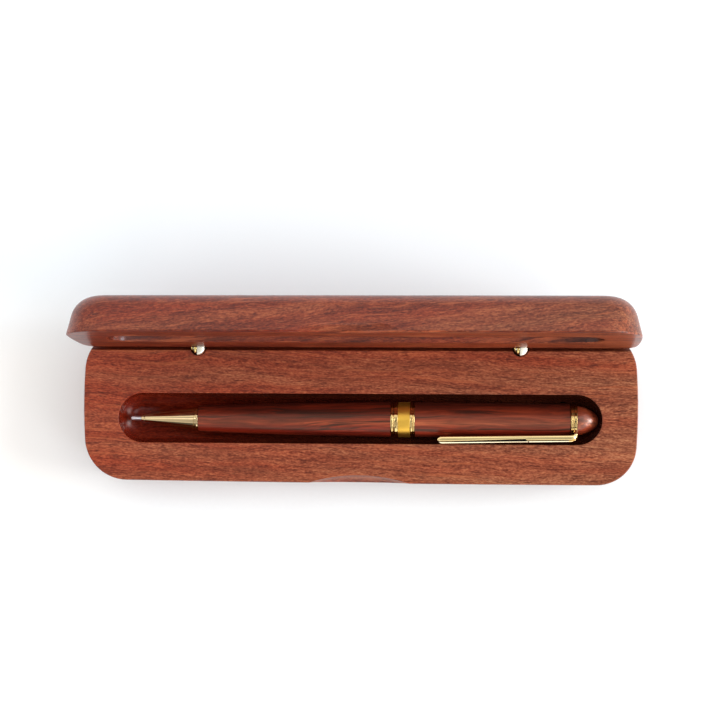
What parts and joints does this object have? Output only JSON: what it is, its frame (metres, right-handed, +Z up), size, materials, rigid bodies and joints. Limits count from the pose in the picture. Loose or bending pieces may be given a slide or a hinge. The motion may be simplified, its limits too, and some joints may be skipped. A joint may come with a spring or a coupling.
{
  "type": "pen case",
  "caption": "Hinged solid-wood pen case standing open, with a round-bottomed groove, barrel hinges, a finger notch and a twist ballpoint pen lying in the groove.",
  "frame": {"origin": "centre of the underside of the base", "axes": "+X along the case towards the pen's finial, +Y from the front edge to the hinges, +Z up"},
  "size_m": [0.165, 0.055, 0.0569],
  "materials": {
    "case_wood": "satin lacquer on reddish-brown rosewood",
    "pen_wood": "gloss lacquer on dark rosewood",
    "hinge_brass": "polished brass",
    "gold_plate": "polished gold plate",
    "satin_gold": "satin gold plate",
    "point_steel": "polished steel",
    "works_brass": "plain brass",
    "works_plastic": "moulded plastic"
  },
  "bodies": {
    "base": {"case_base": "case_wood", "left_hinge_base_barrel": "hinge_brass", "left_hinge_base_leaves": "hinge_brass", "left_hinge_pivot_pin": "hinge_brass", "left_hinge_base_cross_pin": "hinge_brass", "right_hinge_base_barrel": "hinge_brass", "right_hinge_base_leaves": "hinge_brass", "right_hinge_pivot_pin": "hinge_brass", "right_hinge_base_cross_pin": "hinge_brass"},
    "lid": {"case_lid": "case_wood", "left_hinge_lid_barrel": "hinge_brass", "left_hinge_lid_leaf": "hinge_brass", "left_hinge_lid_cross_pin": "hinge_brass", "right_hinge_lid_barrel": "hinge_brass", "right_hinge_lid_leaf": "hinge_brass", "right_hinge_lid_cross_pin": "hinge_brass"},
    "pen_upper": {"band_front_ring": "gold_plate", "band_rear_ring": "gold_plate", "band_sleeve": "satin_gold", "clip": "gold_plate", "finial": "pen_wood", "finial_stud": "works_brass", "trim_ring": "gold_plate", "twist_cam": "works_brass", "upper_barrel": "pen_wood", "upper_tube": "works_brass"},
    "pen_lower": {"nib_cone": "gold_plate", "lower_barrel": "pen_wood", "lower_tube": "works_brass", "twist_sleeve": "works_brass", "twist_retaining_ring": "works_brass"},
    "refill": {"refill_tip": "point_steel", "refill_ball": "point_steel", "refill_tube": "works_brass", "refill_plug": "works_plastic", "twist_follower": "works_brass"}
  },
  "joints": [
    {"name": "lid_hinge", "type": "hinge", "parent": "base", "child": "lid", "pos_m": [0, 0.0174, 0.017], "axis": [-1, 0, 0], "range_deg": [-96, 0]},
    {"name": "pen_lift", "type": "slide", "parent": "base", "child": "pen_upper", "axis": [0, 0, 1], "range_m": [0, 0.07]},
    {"name": "pen_twist", "type": "hinge", "parent": "pen_upper", "child": "pen_lower", "pos_m": [0, -0.00395, 0.01246], "axis": [1, 0, 0], "range_deg": [0, 180]},
    {"name": "refill_slide", "type": "slide", "parent": "pen_lower", "child": "refill", "axis": [1, 0, 0], "range_m": [0, 0.005]}
  ],
  "couplings": [
    {"joint": "refill_slide", "follows": "pen_twist", "m_per_rad": 0.0015915}
  ]
}
